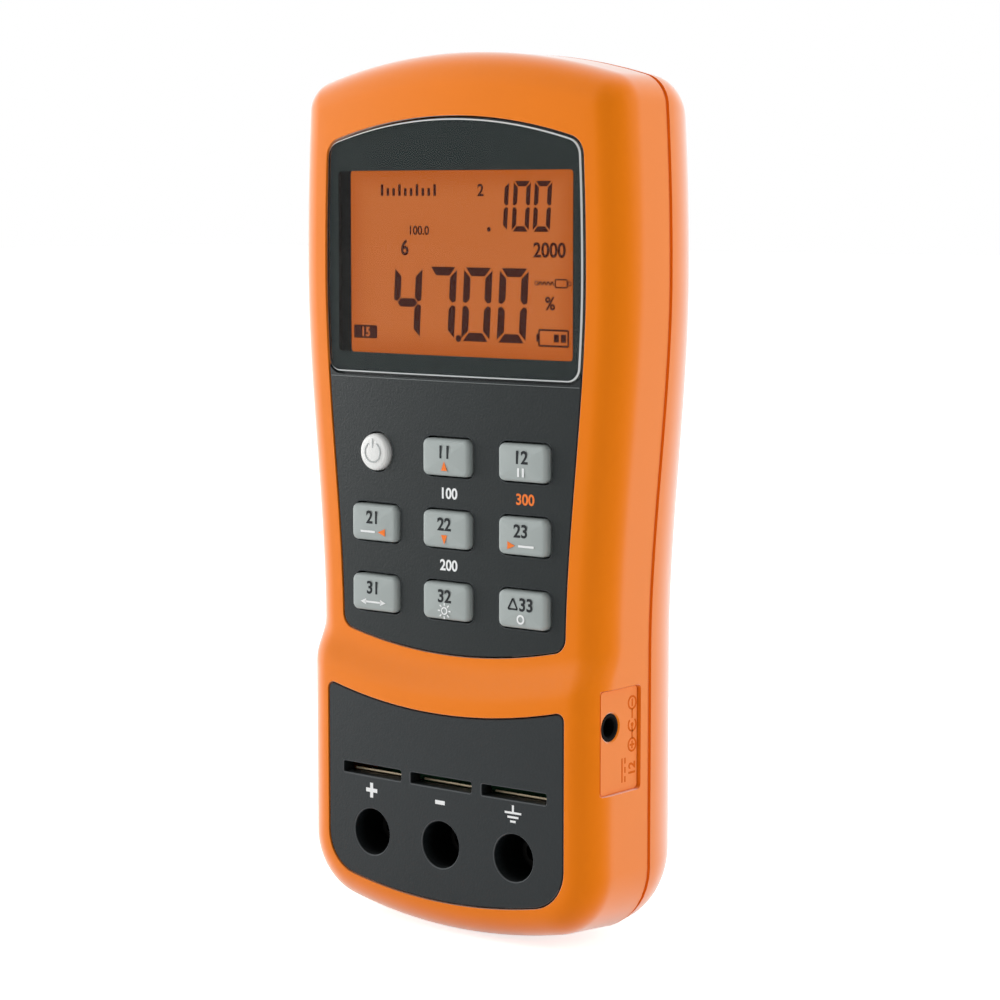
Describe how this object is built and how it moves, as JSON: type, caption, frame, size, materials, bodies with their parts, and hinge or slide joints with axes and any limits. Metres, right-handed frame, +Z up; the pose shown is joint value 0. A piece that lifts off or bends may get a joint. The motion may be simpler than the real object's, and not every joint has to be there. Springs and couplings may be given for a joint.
{
  "type": "component tester",
  "caption": "Handheld component tester: waisted two-part case with a backlit display, a keypad, lead slots and plug sockets in a stepped terminal block, and a tilt stand.",
  "frame": {"origin": "on the floor under the middle of the case, the tester standing on its foot", "axes": "+Z up along the length from the terminals to the display, the face looks along -Y, +X to the right of someone reading it"},
  "size_m": [0.0874, 0.041, 0.184],
  "materials": {
    "orange_case": "satin moulded",
    "dark_panel": "fine-grained",
    "key_grey": "satin",
    "key_pale": "satin",
    "lens_clear": "clear window in a dark printed border",
    "amber_glass": "amber backlit",
    "white_plastic": "plain",
    "black_plastic": "plain",
    "board_green": "solder resist",
    "elastomer": "matte",
    "brass": "turned",
    "steel": "plain",
    "battery_wrap": "plain wrap"
  },
  "bodies": {
    "case": {"front_case": "orange_case", "rear_case": "orange_case", "battery_cover": "orange_case", "keypad_panel": "dark_panel", "terminal_panel": "dark_panel", "display_lens": "lens_clear", "lcd_glass": "amber_glass", "lcd_frame": "white_plastic", "backlight": "white_plastic", "dc_jack": "black_plastic", "measuring_chip": "black_plastic", "buzzer": "black_plastic", "battery_contacts": "black_plastic", "main_pcb": "board_green", "keypad_mat": "elastomer", "zebra_strip_upper": "elastomer", "zebra_strip_lower": "elastomer", "dc_jack_pin": "brass", "banana_socket_left": "brass", "banana_socket_centre": "brass", "banana_socket_right": "brass", "slot_contact_left": "steel", "slot_contact_centre": "steel", "slot_contact_right": "steel", "battery_cover_screw": "steel", "case_screw_1": "steel", "case_screw_2": "steel", "case_screw_3": "steel", "case_screw_4": "steel", "pcb_screw_1": "steel", "pcb_screw_2": "steel", "pcb_screw_3": "steel", "pcb_screw_4": "steel", "battery": "battery_wrap"},
    "key_power": {"key_power": "key_pale"},
    "key_up": {"key_up": "key_grey"},
    "key_hold": {"key_hold": "key_grey"},
    "key_left": {"key_left": "key_grey"},
    "key_down": {"key_down": "key_grey"},
    "key_right": {"key_right": "key_grey"},
    "key_mode": {"key_mode": "key_grey"},
    "key_light": {"key_light": "key_grey"},
    "key_zero": {"key_zero": "key_grey"},
    "stand": {"tilt_stand": "dark_panel"}
  },
  "joints": [
    {"name": "key_power_press", "type": "slide", "parent": "case", "child": "key_power", "axis": [0, 1, 0], "range_m": [0, 0.0007], "stiffness_N_per_m": 1500, "springref_m": -0.0003},
    {"name": "key_up_press", "type": "slide", "parent": "case", "child": "key_up", "axis": [0, 1, 0], "range_m": [0, 0.0007], "stiffness_N_per_m": 1500, "springref_m": -0.0003},
    {"name": "key_hold_press", "type": "slide", "parent": "case", "child": "key_hold", "axis": [0, 1, 0], "range_m": [0, 0.0007], "stiffness_N_per_m": 1500, "springref_m": -0.0003},
    {"name": "key_left_press", "type": "slide", "parent": "case", "child": "key_left", "axis": [0, 1, 0], "range_m": [0, 0.0007], "stiffness_N_per_m": 1500, "springref_m": -0.0003},
    {"name": "key_down_press", "type": "slide", "parent": "case", "child": "key_down", "axis": [0, 1, 0], "range_m": [0, 0.0007], "stiffness_N_per_m": 1500, "springref_m": -0.0003},
    {"name": "key_right_press", "type": "slide", "parent": "case", "child": "key_right", "axis": [0, 1, 0], "range_m": [0, 0.0007], "stiffness_N_per_m": 1500, "springref_m": -0.0003},
    {"name": "key_mode_press", "type": "slide", "parent": "case", "child": "key_mode", "axis": [0, 1, 0], "range_m": [0, 0.0007], "stiffness_N_per_m": 1500, "springref_m": -0.0003},
    {"name": "key_light_press", "type": "slide", "parent": "case", "child": "key_light", "axis": [0, 1, 0], "range_m": [0, 0.0007], "stiffness_N_per_m": 1500, "springref_m": -0.0003},
    {"name": "key_zero_press", "type": "slide", "parent": "case", "child": "key_zero", "axis": [0, 1, 0], "range_m": [0, 0.0007], "stiffness_N_per_m": 1500, "springref_m": -0.0003},
    {"name": "stand_swing", "type": "hinge", "parent": "case", "child": "stand", "pos_m": [0, 0.0182, 0.1012], "axis": [1, 0, 0], "range_deg": [0, 50]}
  ]
}
